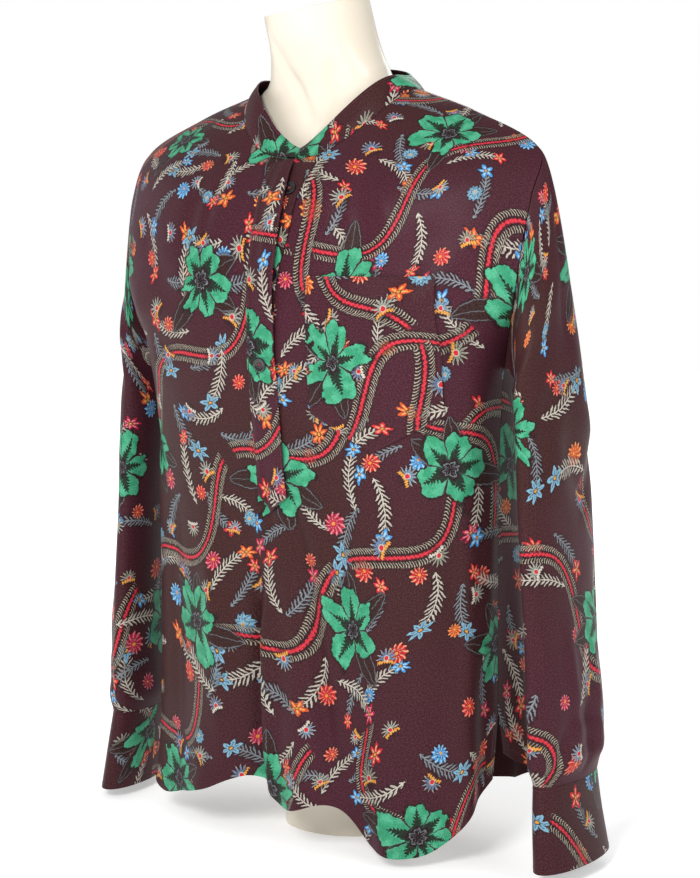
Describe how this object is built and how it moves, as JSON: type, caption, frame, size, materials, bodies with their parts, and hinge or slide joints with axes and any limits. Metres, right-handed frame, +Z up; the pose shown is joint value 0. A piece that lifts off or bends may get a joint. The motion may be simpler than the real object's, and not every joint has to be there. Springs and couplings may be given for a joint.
{
  "type": "tunic blouse on a torso form",
  "caption": "Loose long-sleeved tunic blouse with a band collar, half placket, chest pocket and curved hem, standing on a limbless torso form.",
  "frame": {"origin": "a point on the torso form's flat foot, midway between the side seams", "axes": "+Z up, the garment's front faces -Y, the wearer's left is +X"},
  "size_m": [0.5918, 0.2477, 0.8388],
  "materials": {
    "cloth": "soft silk twill with a low sheen, printed all over",
    "buttons": "glossy",
    "form": "smooth cream white gloss"
  },
  "bodies": {
    "root": {"front": "cloth", "back": "cloth", "sleeve_left": "cloth", "sleeve_right": "cloth", "cuff_left": "cloth", "cuff_right": "cloth", "collar_band": "cloth", "placket_over": "cloth", "placket_under": "cloth", "pocket": "cloth", "button_1": "buttons", "button_2": "buttons", "button_3": "buttons", "torso_form": "form"}
  },
  "joints": []
}
